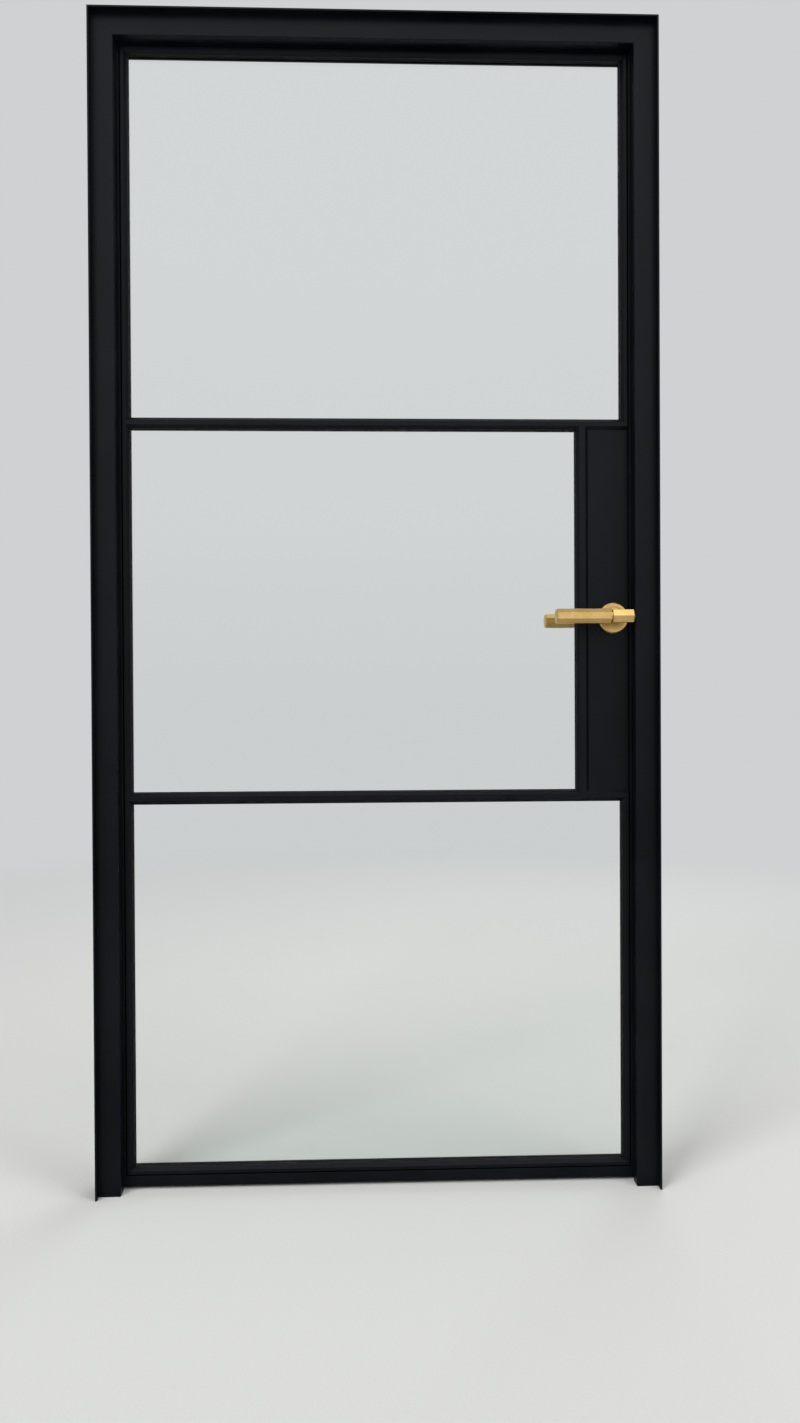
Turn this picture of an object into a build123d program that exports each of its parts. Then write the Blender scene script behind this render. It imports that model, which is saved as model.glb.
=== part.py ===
from build123d import *
import os

os.makedirs("parts", exist_ok=True)

# A single glazed door leaf in its steel frame. +X is to the right as seen from the front,
# +Y points away from the viewer and +Z is up. The origin is on the floor, at the middle of the
# frame's width and of the leaf's thickness.

# Frame
frame_width = 1000.0
frame_height = 2080.0
frame_face = 41.0
frame_wall = 2.0
frame_fold = 1.0
lip_thickness = 3.0
lip_projection = 16.0
leaf_recess = 26.0
stop_overlap = 12.0
seal_space = 3.0
seal_width = 8.0
seal_inset = 2.0
seal_clearance = 0.3
fixing_radius = 4.25
fixing_end_distance = 260.0
fixing_count = 4

# Leaf
leaf_thickness = 32.0
leaf_side_gap = 3.0
floor_gap = 6.0
strip_width = 16.0
top_strip_width = 13.0
bottom_strip_width = 19.0
groove_width = 2.5
groove_depth = 8.0
bead_flat = 5.5
bead_chamfer = 5.5
bar_flat = 8.0
lock_bar_flat = 10.5
bar_web = 4.0
upper_bar_height = 1370.0
lower_bar_height = 699.0
lock_panel_width = 74.0

# Glazing
glass_thickness = 8.0
glass_cover = 5.0
tape_thickness = 1.0
tape_setback = 1.0
block_length = 80.0
block_inset = 60.0

# Lock and its panel
panel_plate = 2.0
backset = 45.0
spindle_height = 1020.0
spindle_size = 8.0
spindle_reach = 30.0
case_width = 72.0
case_height = 150.0
case_wall = 1.5
case_drop = 20.0
latch_rise = 18.0
latch_height = 22.0
latch_thickness = 8.0
latch_projection = 10.0
latch_bevel_start = 1.0
latch_nose = 1.5
latch_clearance = 0.3
latch_inset = 1.0
tail_overhang = 14.0
tail_height = 14.0
tail_thickness = 6.0
tail_bridge = 3.0
hub_radius = 9.0
hub_arm = 21.0
hub_arm_width = 6.0
running_clearance = 0.05
notch_clearance = 2.2
notch_lag = 3.2
faceplate_width = 20.0
faceplate_height = 170.0
faceplate_thickness = 3.0
strike_thickness = 1.5
strike_width = 24.0
strike_height = 110.0
strike_screw_pitch = 90.0
strike_corner = 4.0
small_screw_radius = 2.0
small_head_radius = 4.0
small_screw_length = 12.0

# Handle set
rose_radius = 27.5
rose_height = 8.0
rose_bevel = 2.0
rose_wall = 1.5
rose_step_radius = 20.0
rose_step_height = 1.2
rose_bolt_radius = 2.0
rose_bolt_offset = 18.0
bolt_clearance = 0.2
plate_radius = 24.0
plate_thickness = 5.0
neck_radius = 9.0
neck_waist_radius = 7.0
neck_collar = 22.0
neck_flare = 4.0
lever_stand = 60.0
grub_height = 15.0
grub_radius = 2.0
grub_socket = 2.0
grub_socket_depth = 2.0
grub_sink = 0.6
stub_across = 22.0
stub_reach = 26.5
stub_chamfer = 2.5
stub_back_chamfer = 0.8
collar_radius = 9.5
collar_length = 2.0
core_radius = 8.0
grip_across = 25.5
grip_start = 15.0
grip_length = 98.0
grip_chamfer = 2.2
grip_back_chamfer = 1.0
grip_end_wall = 6.0

# Hinges
hinge_radius = 7.0
hinge_clearance = 0.3
hinge_pin_radius = 4.0
hinge_knuckle = 45.0
hinge_washer = 1.0
hinge_wing = 26.0
hinge_wing_thickness = 3.0
hinge_end_distance = 250.0
hinge_screw_radius = 2.5
hinge_head_radius = 4.5
hinge_screw_inset = 8.0
hinge_screw_pitch = 24.0
hinge_cap = 6.0
hinge_edge = 0.8
hinge_corner = 4.0

# Places that follow from the sizes above
frame_half = frame_width / 2
stop_x = frame_half - frame_face
leaf_half = stop_x + stop_overlap
rebate_x = leaf_half + leaf_side_gap
rebate_cover = frame_half - rebate_x
leaf_face = leaf_thickness / 2
face_y = -leaf_face - leaf_recess
lip_y = face_y - lip_projection
stop_back_y = -leaf_face - seal_space
leaf_bottom = floor_gap
leaf_top = frame_height - frame_face + stop_overlap
layer_depth = leaf_face - glass_thickness / 2 - tape_thickness
layer_y = leaf_face - layer_depth
bead_width = bead_flat + bead_chamfer + groove_width
block_x = leaf_half - strip_width
block_bottom = leaf_bottom + bottom_strip_width
block_top = leaf_top - top_strip_width
open_x = block_x - bead_width
open_bottom = block_bottom + bead_width
open_top = block_top - bead_width
bar_half = bar_flat / 2 + bead_chamfer
lock_bar_half = lock_bar_flat / 2 + bead_chamfer
panel_left = block_x - lock_panel_width
lock_bar_position = panel_left - lock_bar_half
panel_face = leaf_face - bead_chamfer
panel_right = block_x - groove_width
panel_groove_y = leaf_face - groove_depth
case_half_thickness = panel_groove_y - panel_plate
lever_x = leaf_half - backset
latch_z = spindle_height + latch_rise
lever_y = panel_face + lever_stand - stub_across / 2
hinge_x = -(leaf_half + leaf_side_gap / 2)
hinge_y = leaf_face + hinge_clearance + hinge_radius
hinge_heights = (hinge_end_distance, frame_height / 2, frame_height - hinge_end_distance)
fixing_y = leaf_face / 4
cut_reach = leaf_thickness

FRONT = Plane.XZ
LEFT_EDGE = (Align.MIN, Align.MIN)


def write(part, label):
    """Labels a finished piece and writes it as its own file."""
    part.label = label
    export_step(part, f"parts/{label}.step")


def depth_plane(y):
    """A plane seen from the front, at depth y, on which x and z are drawn."""
    return FRONT.offset(-y)


# Frame members: a hollow section with a stop in front of the leaf and a thin outer lip
jamb_plane = Plane(origin=(-frame_half, 0, 0), x_dir=(1, 0, 0), z_dir=(0, 0, 1))
head_plane = Plane(origin=(-frame_half, 0, frame_height), x_dir=(0, 0, -1), z_dir=(1, 0, 0))
left_mitre = Plane(origin=(-frame_half, 0, frame_height), x_dir=(0, 1, 0), z_dir=(1, 0, 1))
right_mitre = Plane(origin=(frame_half, 0, frame_height), x_dir=(0, 1, 0), z_dir=(-1, 0, 1))


def frame_section(plane):
    """The frame's section: first coordinate inward from the outer edge, second in depth."""
    with BuildSketch(plane) as section:
        with BuildLine():
            Polyline(
                (0, face_y),
                (frame_face - frame_fold, face_y),
                (frame_face, face_y + frame_fold),
                (frame_face, stop_back_y),
                (rebate_cover, stop_back_y),
                (rebate_cover, leaf_face),
                (0, leaf_face),
                close=True,
            )
        make_face()
        offset(amount=-frame_wall, kind=Kind.INTERSECTION, mode=Mode.SUBTRACT)
        with Locations((0, lip_y)):
            Rectangle(lip_thickness, lip_projection, align=LEFT_EDGE)
    return section.sketch


def countersunk_screw(radius, head_radius, length):
    """A countersunk screw with its head's flat on the XY plane and its shank below."""
    with BuildPart() as screw:
        with BuildSketch(Plane.XZ):
            Polygon(
                (0, 0),
                (head_radius, 0),
                (radius, radius - head_radius),
                (radius, -length),
                (0, -length),
                align=None,
            )
        revolve(axis=Axis.Z)
    return screw.part


hinge_screw = countersunk_screw(hinge_screw_radius, hinge_head_radius, small_screw_length)
small_screw = countersunk_screw(small_screw_radius, small_head_radius, small_screw_length)


def hinge_screw_places(side):
    """Where the wing screws of every hinge sit: side -1 on the frame, +1 on the leaf."""
    x = hinge_x + side * (hinge_wing - hinge_screw_inset)
    y = leaf_face + hinge_wing_thickness
    half_turn = (hinge_knuckle + hinge_washer) / 2
    return [
        Plane(origin=(x, y, height + side * half_turn + step), x_dir=(1, 0, 0), z_dir=(0, 1, 0)).location
        for height in hinge_heights
        for step in (-hinge_screw_pitch / 2, hinge_screw_pitch / 2)
    ]


def edge_screw_places(x, centre_z, pitch):
    """Where two screws sit one above the other in a face looking along X, at either side."""
    facing = 1 if x == leaf_half else -1
    return [
        Plane(origin=(x, 0, centre_z + step), x_dir=(0, 1, 0), z_dir=(facing, 0, 0)).location
        for step in (-pitch / 2, pitch / 2)
    ]


frame_wing_screws = hinge_screw_places(-1)
leaf_wing_screws = hinge_screw_places(1)
strike_screws_at = edge_screw_places(rebate_x - strike_thickness, latch_z, strike_screw_pitch)
fixing_pitch = (frame_height - 2 * fixing_end_distance) / (fixing_count - 1)
fixing_places = [(fixing_y, fixing_end_distance + i * fixing_pitch) for i in range(fixing_count)]

with BuildPart() as jamb:
    extrude(frame_section(jamb_plane), amount=frame_height)
    split(bisect_by=left_mitre, keep=Keep.BOTTOM)
    with BuildSketch(Plane.YZ.offset(-frame_half)):
        with Locations(*fixing_places):
            Circle(fixing_radius)
    extrude(amount=rebate_cover, mode=Mode.SUBTRACT)

with BuildPart() as jamb_left:
    add(jamb.part)
    with Locations(*frame_wing_screws):
        add(hinge_screw, mode=Mode.SUBTRACT)
write(jamb_left.part, "jamb_left")

latch_window = latch_clearance * 4
with BuildPart() as jamb_right:
    mirror(jamb.part, about=Plane.YZ)
    with Locations(*strike_screws_at):
        add(small_screw, mode=Mode.SUBTRACT)
    with BuildSketch(Plane.YZ.offset(rebate_x)):
        with Locations((0, latch_z)):
            Rectangle(latch_thickness + latch_window, latch_height + latch_window)
    extrude(amount=frame_wall, mode=Mode.SUBTRACT)
write(jamb_right.part, "jamb_right")

with BuildPart() as head:
    extrude(frame_section(head_plane), amount=frame_width, dir=(1, 0, 0))
    split(bisect_by=left_mitre, keep=Keep.TOP)
    split(bisect_by=right_mitre, keep=Keep.TOP)
write(head.part, "head")

# Seals on the back of the stop
seal_depth = seal_space - seal_clearance
seal_outer_x = leaf_half - seal_inset
seal_top_z = leaf_top - seal_inset

with BuildPart() as seal_left:
    with BuildSketch(depth_plane(stop_back_y)):
        with Locations((-seal_outer_x, 0)):
            Rectangle(seal_width, seal_top_z, align=LEFT_EDGE)
    extrude(amount=-seal_depth)
    fillet(seal_left.edges().filter_by(Axis.Z).group_by(Axis.Y)[-1], seal_depth / 3)
write(seal_left.part, "seal_left")

with BuildPart() as seal_right:
    mirror(seal_left.part, about=Plane.YZ)
write(seal_right.part, "seal_right")

with BuildPart() as seal_head:
    with BuildSketch(depth_plane(stop_back_y)):
        with Locations((0, seal_top_z)):
            Rectangle(2 * (seal_outer_x - seal_width), seal_width, align=(Align.CENTER, Align.MAX))
    extrude(amount=-seal_depth)
    fillet(seal_head.edges().filter_by(Axis.X).group_by(Axis.Y)[-1], seal_depth / 3)
write(seal_head.part, "seal_head")

# Openings of the leaf, as left, right, bottom and top edges
bars_top = upper_bar_height + bar_half
bars_low = upper_bar_height - bar_half
lower_top = lower_bar_height + bar_half
lower_low = lower_bar_height - bar_half
top_light = (-open_x, open_x, bars_top, open_top)
middle_light = (-open_x, lock_bar_position - lock_bar_half, lower_top, bars_low)
bottom_light = (-open_x, open_x, open_bottom, lower_low)
lock_pocket = (panel_left, block_x, lower_top, bars_low)
lights = {"top": top_light, "middle": middle_light, "bottom": bottom_light}


def draw_rectangle(edges, margin=0.0, mode=Mode.ADD):
    """Draws the rectangle between four edges, grown by a margin on every side."""
    left, right, bottom, top = edges
    with Locations(((left + right) / 2, (bottom + top) / 2)):
        Rectangle(right - left + 2 * margin, top - bottom + 2 * margin, mode=mode)


def cut_openings(face_plane, inward):
    """Cuts every opening through a layer and chamfers its edge on the layer's visible face."""
    for edges in (*lights.values(), lock_pocket):
        with BuildSketch(face_plane) as opening:
            draw_rectangle(edges)
        extrude(opening.sketch, amount=inward * layer_depth, mode=Mode.SUBTRACT)
        with BuildSketch(face_plane) as mouth:
            draw_rectangle(edges, margin=bead_chamfer)
        extrude(mouth.sketch, amount=inward * bead_chamfer, taper=45, mode=Mode.SUBTRACT)


leaf_edges = (-leaf_half, leaf_half, leaf_bottom, leaf_top)
block_edges = (-block_x, block_x, block_bottom, block_top)

# The front layer: removable beads and bar caps, with the shadow groove along the stiles
with BuildPart() as front_layer:
    with BuildSketch(depth_plane(-leaf_face)):
        draw_rectangle(block_edges)
    extrude(amount=-layer_depth)
    with BuildSketch(depth_plane(-leaf_face)):
        draw_rectangle(block_edges)
        draw_rectangle(block_edges, margin=-groove_width, mode=Mode.SUBTRACT)
    extrude(amount=-groove_depth, mode=Mode.SUBTRACT)
    cut_openings(depth_plane(-leaf_face), -1)

# The fixed layer: solid edge strip, rear legs and the webs of the bars
with BuildPart() as fixed_layer:
    with BuildSketch(depth_plane(-leaf_face)):
        draw_rectangle(leaf_edges)
        draw_rectangle(block_edges, mode=Mode.SUBTRACT)
    extrude(amount=-leaf_thickness)
    with BuildSketch(depth_plane(leaf_face)):
        draw_rectangle(block_edges)
    extrude(amount=layer_depth)
    cut_openings(depth_plane(leaf_face), 1)
    with BuildSketch(depth_plane(-layer_y)):
        with Locations((0, upper_bar_height), (0, lower_bar_height)):
            Rectangle(2 * block_x, bar_web)
        with Locations((lock_bar_position, (lower_top + bars_low) / 2)):
            Rectangle(bar_web, upper_bar_height - lower_bar_height - bar_web)
    extrude(amount=-2 * layer_y)


def cut_from(source, region, removed=()):
    """The piece of a layer inside one region and outside others, all drawn from the front."""
    with BuildPart() as piece:
        add(source)
        with BuildSketch(depth_plane(-cut_reach)):
            Polygon(*region, align=None)
        extrude(amount=-2 * cut_reach, mode=Mode.INTERSECT)
        for other in removed:
            with BuildSketch(depth_plane(-cut_reach)):
                Polygon(*other, align=None)
            extrude(amount=-2 * cut_reach, mode=Mode.SUBTRACT)
    return piece.part


def bar_region(height, lock_side):
    """The outline of a horizontal bar, with lock_side +1 or -1 where the upright meets it."""
    flat = bar_flat / 2
    lock_flat = lock_bar_flat / 2
    far = -lock_side
    ends_x = open_x + bead_chamfer
    return [
        (-open_x, height + far * bar_half),
        (-ends_x, height + far * flat),
        (-block_x, height + far * flat),
        (-block_x, height + lock_side * flat),
        (-ends_x, height + lock_side * flat),
        (-open_x, height + lock_side * bar_half),
        (lock_bar_position - lock_bar_half, height + lock_side * bar_half),
        (lock_bar_position - lock_flat, height + lock_side * flat),
        (lock_bar_position + lock_flat, height + lock_side * flat),
        (panel_left, height + lock_side * bar_half),
        (block_x, height + lock_side * bar_half),
        (block_x, height + far * flat),
        (ends_x, height + far * flat),
        (open_x, height + far * bar_half),
    ]


upper_region = bar_region(upper_bar_height, -1)
lower_region = bar_region(lower_bar_height, 1)
lock_region = [
    (lock_bar_position - lock_bar_half, bars_low),
    (lock_bar_position - lock_bar_flat / 2, bars_low + bead_chamfer),
    (lock_bar_position + lock_bar_flat / 2, bars_low + bead_chamfer),
    (panel_left, bars_low),
    (panel_left, lower_top),
    (lock_bar_position + lock_bar_flat / 2, lower_top - bead_chamfer),
    (lock_bar_position - lock_bar_flat / 2, lower_top - bead_chamfer),
    (lock_bar_position - lock_bar_half, lower_top),
]
bar_regions = {"upper": upper_region, "lower": lower_region, "lock": lock_region}
for bar_name, bar_outline in bar_regions.items():
    write(cut_from(front_layer.part, bar_outline), f"cap_{bar_name}")
    write(cut_from(fixed_layer.part, bar_outline), f"bar_{bar_name}")

# Stiles and rails, mitred at the corners of the leaf
left_region = [
    (-leaf_half, leaf_bottom),
    (-leaf_half, leaf_top),
    (-block_x, block_top),
    (-open_x, open_top),
    (-open_x, open_bottom),
    (-block_x, block_bottom),
]
right_region = [(-x, z) for x, z in left_region]
top_region = [
    (-leaf_half, leaf_top),
    (leaf_half, leaf_top),
    (block_x, block_top),
    (open_x, open_top),
    (-open_x, open_top),
    (-block_x, block_top),
]
bottom_region = [
    (-leaf_half, leaf_bottom),
    (leaf_half, leaf_bottom),
    (block_x, block_bottom),
    (open_x, open_bottom),
    (-open_x, open_bottom),
    (-block_x, block_bottom),
]
bars = (upper_region, lower_region)
with BuildPart() as stile_left:
    add(cut_from(fixed_layer.part, left_region, bars))
    with Locations(*leaf_wing_screws):
        add(hinge_screw, mode=Mode.SUBTRACT)
write(stile_left.part, "stile_left")
write(cut_from(fixed_layer.part, top_region), "rail_top")
write(cut_from(fixed_layer.part, bottom_region), "rail_bottom")

case_right = block_x
case_centre_z = spindle_height - case_drop / 2
faceplate_x = leaf_half - faceplate_thickness
faceplate_screws_at = edge_screw_places(leaf_half, case_centre_z, faceplate_height - faceplate_width)

with BuildPart() as stile_right:
    add(cut_from(fixed_layer.part, right_region, bars))
    with BuildSketch(Plane.YZ.offset(faceplate_x)):
        with Locations((0, case_centre_z)):
            SlotOverall(faceplate_height, faceplate_width, rotation=90)
    extrude(amount=faceplate_thickness, mode=Mode.SUBTRACT)
    with BuildSketch(Plane.YZ.offset(block_x)):
        with Locations((0, latch_z)):
            Rectangle(latch_thickness + latch_window, latch_height + latch_window)
    extrude(amount=strip_width, mode=Mode.SUBTRACT)
    with Locations(*faceplate_screws_at):
        add(small_screw, mode=Mode.SUBTRACT)
write(stile_right.part, "stile_right")

# Beads of each light, mitred in the corners of the leaf and scribed to the bars

def bead_end(height, outward, at_bar):
    """The end of a left-hand bead, from its inner to its outer edge."""
    if at_bar:
        shoulder = height + outward * bead_chamfer
        return [(-open_x, height), (-open_x - bead_chamfer, shoulder), (-block_x, shoulder)]
    return [(-open_x, height), (-block_x, height + outward * bead_width)]


left_beads = {
    "top": (bars_top, True, open_top, False),
    "middle": (lower_top, True, bars_low, True),
    "bottom": (open_bottom, False, lower_low, True),
}
for light_name, (low, low_at_bar, high, high_at_bar) in left_beads.items():
    outline = bead_end(low, -1, low_at_bar) + bead_end(high, 1, high_at_bar)[::-1]
    write(cut_from(front_layer.part, outline), f"bead_left_{light_name}")
    if light_name != "middle":
        mirrored = [(-x, z) for x, z in outline]
        write(cut_from(front_layer.part, mirrored), f"bead_right_{light_name}")

bead_top_region = [
    (-open_x, open_top),
    (-block_x, open_top + bead_width),
    (block_x, open_top + bead_width),
    (open_x, open_top),
]
bead_bottom_region = [
    (-open_x, open_bottom),
    (-block_x, open_bottom - bead_width),
    (block_x, open_bottom - bead_width),
    (open_x, open_bottom),
]
write(cut_from(front_layer.part, bead_top_region), "bead_top")
write(cut_from(front_layer.part, bead_bottom_region), "bead_bottom")

# Panes, their tapes and the blocks that carry them
for light_name, edges in lights.items():
    with BuildPart() as pane:
        with BuildSketch(depth_plane(-glass_thickness / 2)):
            draw_rectangle(edges, margin=glass_cover)
        extrude(amount=-glass_thickness)
    write(pane.part, f"glass_{light_name}")

    with BuildPart() as tapes:
        for side in (-1, 1):
            with BuildSketch(depth_plane(side * glass_thickness / 2)):
                draw_rectangle(edges, margin=glass_cover)
                left, right, bottom, top = edges
                with Locations(((left + right) / 2, (bottom + top) / 2)):
                    Rectangle(
                        right - left + 2 * tape_setback,
                        top - bottom + 2 * tape_setback,
                        mode=Mode.SUBTRACT,
                    )
            extrude(amount=-side * tape_thickness)
    write(tapes.part, f"tapes_{light_name}")

block_seats = {
    "top": upper_bar_height + bar_web / 2,
    "middle": lower_bar_height + bar_web / 2,
    "bottom": block_bottom,
}
with BuildPart() as setting_blocks:
    for light_name, (left, right, bottom, top) in lights.items():
        seat = block_seats[light_name]
        with BuildSketch(depth_plane(-glass_thickness / 2)):
            with Locations((left + block_inset, seat), (right - block_inset - block_length, seat)):
                Rectangle(block_length, bottom - glass_cover - seat, align=LEFT_EDGE)
        extrude(amount=-glass_thickness)
write(setting_blocks.part, "setting_blocks")

# Lock panel: two thin pans with the lock case between them
hub_hole = hub_radius + running_clearance
bolt_places = ((lever_x - rose_bolt_offset, spindle_height), (lever_x + rose_bolt_offset, spindle_height))
base_depth = panel_groove_y - case_half_thickness

with BuildPart() as lock_panel_front:
    with BuildSketch(depth_plane(-panel_groove_y)):
        draw_rectangle(lock_pocket)
    extrude(amount=-base_depth)
    with BuildSketch(depth_plane(-panel_face)):
        draw_rectangle((panel_left, panel_right, lower_top, bars_low))
    extrude(amount=-(panel_face - panel_groove_y))
    with BuildSketch(depth_plane(-panel_face)):
        with Locations((lever_x, spindle_height)):
            Circle(neck_radius + running_clearance)
        with Locations(*bolt_places):
            Circle(rose_bolt_radius + bolt_clearance)
    extrude(amount=-panel_face, mode=Mode.SUBTRACT)
write(lock_panel_front.part, "lock_panel_front")

with BuildPart() as lock_panel_rear:
    mirror(lock_panel_front.part, about=Plane.XZ)
write(lock_panel_rear.part, "lock_panel_rear")

case_left = case_right - case_width
with BuildPart() as lock_case:
    with BuildSketch(depth_plane(-case_half_thickness)):
        with Locations((case_left, case_centre_z)):
            Rectangle(case_width, case_height, align=(Align.MIN, Align.CENTER))
    extrude(amount=-2 * case_half_thickness)
    with BuildSketch(depth_plane(-case_half_thickness + case_wall)):
        with Locations((case_left + case_wall, case_centre_z)):
            Rectangle(
                case_width - 2 * case_wall,
                case_height - 2 * case_wall,
                align=(Align.MIN, Align.CENTER),
            )
    extrude(amount=-2 * (case_half_thickness - case_wall), mode=Mode.SUBTRACT)
    with BuildSketch(depth_plane(-case_half_thickness)):
        with Locations((lever_x, spindle_height)):
            Circle(hub_hole)
        with Locations(*bolt_places):
            Circle(rose_bolt_radius + bolt_clearance)
    extrude(amount=-2 * case_half_thickness, mode=Mode.SUBTRACT)
    with BuildSketch(Plane.YZ.offset(case_right - case_wall)):
        with Locations((0, latch_z)):
            Rectangle(latch_thickness + latch_window, latch_height + latch_window)
    extrude(amount=case_wall, mode=Mode.SUBTRACT)
write(lock_case.part, "lock_case")

with BuildPart() as lock_faceplate:
    with BuildSketch(Plane.YZ.offset(faceplate_x)):
        with Locations((0, case_centre_z)):
            SlotOverall(faceplate_height, faceplate_width, rotation=90)
        with Locations((0, latch_z)):
            Rectangle(
                latch_thickness + 2 * latch_clearance,
                latch_height + 2 * latch_clearance,
                mode=Mode.SUBTRACT,
            )
    extrude(amount=faceplate_thickness)
    with Locations(*faceplate_screws_at):
        add(small_screw, mode=Mode.SUBTRACT)
write(lock_faceplate.part, "lock_faceplate")


def write_screws(screw, places, label):
    """Writes one node of identical screws, each a solid of its own."""
    with BuildPart() as screws:
        with Locations(*places):
            add(screw)
    write(screws.part, label)


write_screws(hinge_screw, frame_wing_screws, "hinge_frame_screws")
write_screws(hinge_screw, leaf_wing_screws, "hinge_leaf_screws")
write_screws(small_screw, faceplate_screws_at, "faceplate_screws")
write_screws(small_screw, strike_screws_at, "strike_screws")

with BuildPart() as strike_plate:
    with BuildSketch(Plane.YZ.offset(rebate_x)):
        with Locations((0, latch_z)):
            RectangleRounded(strike_width, strike_height, strike_corner)
            Rectangle(
                latch_thickness + 2 * latch_clearance,
                latch_height + 2 * latch_clearance,
                mode=Mode.SUBTRACT,
            )
    extrude(amount=-strike_thickness)
    with Locations(*strike_screws_at):
        add(small_screw, mode=Mode.SUBTRACT)
write(strike_plate.part, "strike_plate")

# Latch bolt: a bevelled head with a notched tail above the follower
latch_tip_x = leaf_half + latch_projection
head_left_x = case_right + latch_inset
tail_left_x = lever_x - tail_overhang
arm_half = hub_arm_width / 2
notch_left_x = lever_x - arm_half - notch_clearance
notch_right_x = lever_x + arm_half + notch_lag

with BuildPart() as latch_bolt:
    with BuildSketch(Plane.XY.offset(latch_z - latch_height / 2)):
        Polygon(
            (head_left_x, -latch_thickness / 2),
            (leaf_half + latch_bevel_start, -latch_thickness / 2),
            (latch_tip_x, latch_thickness / 2 - latch_nose),
            (latch_tip_x, latch_thickness / 2),
            (head_left_x, latch_thickness / 2),
            align=None,
        )
    extrude(amount=latch_height)
    with BuildSketch(depth_plane(-tail_thickness / 2)):
        draw_rectangle((tail_left_x, head_left_x, latch_z - tail_height / 2, latch_z + tail_height / 2))
        with Locations((notch_left_x, latch_z - tail_height / 2)):
            Rectangle(
                notch_right_x - notch_left_x,
                tail_height - tail_bridge,
                align=LEFT_EDGE,
                mode=Mode.SUBTRACT,
            )
    extrude(amount=-tail_thickness)
write(latch_bolt.part, "latch_bolt")

# Follower: the hub that the spindle turns, with the arm that draws the latch
with BuildPart() as follower:
    with BuildSketch(depth_plane(-case_half_thickness + running_clearance)):
        with Locations((lever_x, spindle_height)):
            Circle(hub_radius)
            Rectangle(spindle_size, spindle_size, mode=Mode.SUBTRACT)
    extrude(amount=-2 * (case_half_thickness - running_clearance))
    with BuildSketch(depth_plane(-tail_thickness / 2)):
        with Locations((lever_x, spindle_height + spindle_size / 2)):
            Rectangle(
                hub_arm_width,
                hub_arm - spindle_size / 2,
                align=(Align.CENTER, Align.MIN),
            )
    extrude(amount=-tail_thickness)
write(follower.part, "follower")

with BuildPart() as spindle:
    with BuildSketch(depth_plane(-spindle_reach)):
        with Locations((lever_x, spindle_height)):
            Rectangle(spindle_size, spindle_size)
    extrude(amount=-2 * spindle_reach)
write(spindle.part, "spindle")

# Handle set of one side, turned about the spindle's axis; radius first, then height off the panel
rose_plane = Plane(origin=(lever_x, -panel_face, spindle_height), x_dir=(1, 0, 0), z_dir=(0, 0, -1))
spindle_axis = Axis((lever_x, -panel_face, spindle_height), (0, -1, 0))
rose_bore = neck_radius + hinge_clearance
rose_floor = rose_height - rose_step_height

with BuildPart() as rose_front:
    with BuildSketch(rose_plane):
        Polygon(
            (rose_radius, 0),
            (rose_radius, rose_height - rose_bevel),
            (rose_radius - rose_bevel, rose_height),
            (rose_step_radius, rose_height),
            (rose_step_radius, rose_floor),
            (rose_bore, rose_floor),
            (rose_bore, rose_floor - rose_wall),
            (rose_radius - rose_wall, rose_floor - rose_wall),
            (rose_radius - rose_wall, 0),
            align=None,
        )
    revolve(axis=spindle_axis)
write(rose_front.part, "rose_front")

with BuildPart() as rose_plate_front:
    with BuildSketch(depth_plane(-panel_face - plate_thickness)):
        with Locations((lever_x, spindle_height)):
            Circle(plate_radius)
            Circle(rose_bore, mode=Mode.SUBTRACT)
        with Locations(*bolt_places):
            Circle(rose_bolt_radius, mode=Mode.SUBTRACT)
    extrude(amount=-plate_thickness)
write(rose_plate_front.part, "rose_plate_front")

with BuildPart() as rose_bolts:
    with BuildSketch(depth_plane(-panel_face - plate_thickness)):
        with Locations(*bolt_places):
            Circle(rose_bolt_radius)
    extrude(amount=-2 * (panel_face + plate_thickness))
write(rose_bolts.part, "rose_bolts")


def lever_section(x, sides, across):
    """A regular section across the lever at distance x, with one flat facing up."""
    with BuildSketch(Plane.YZ.offset(x)) as section:
        with Locations((-lever_y, spindle_height)):
            RegularPolygon(across / 2, sides, major_radius=False, rotation=90 + 180 / sides)
    return section.sketch


def lever_round(x, radius):
    """A round section across the lever at distance x."""
    with BuildSketch(Plane.YZ.offset(x)) as section:
        with Locations((-lever_y, spindle_height)):
            Circle(radius)
    return section.sketch


stub_end_x = lever_x + stub_reach
grip_right_x = lever_x - grip_start
grip_left_x = grip_right_x - grip_length
stub_start_x = grip_right_x + collar_length
core_left_x = grip_left_x + grip_end_wall

# The six-sided stub carries the neck; a turned collar and core run from it into the grip
with BuildPart() as lever_bar_front:
    extrude(lever_section(stub_start_x, 6, stub_across), amount=stub_end_x - stub_start_x)
    chamfer(lever_bar_front.faces().sort_by(Axis.X)[-1].edges(), stub_chamfer)
    chamfer(lever_bar_front.faces().sort_by(Axis.X)[0].edges(), stub_back_chamfer)
    extrude(lever_round(grip_right_x, collar_radius), amount=collar_length)
    extrude(lever_round(core_left_x, core_radius), amount=grip_right_x - core_left_x)
write(lever_bar_front.part, "lever_bar_front")

with BuildPart() as lever_grip_front:
    extrude(lever_section(grip_left_x, 8, grip_across), amount=grip_length)
    chamfer(lever_grip_front.faces().sort_by(Axis.X)[0].edges(), grip_chamfer)
    chamfer(lever_grip_front.faces().sort_by(Axis.X)[-1].edges(), grip_back_chamfer)
    extrude(
        lever_round(core_left_x, core_radius),
        amount=grip_right_x - core_left_x,
        mode=Mode.SUBTRACT,
    )
write(lever_grip_front.part, "lever_grip_front")

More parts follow.
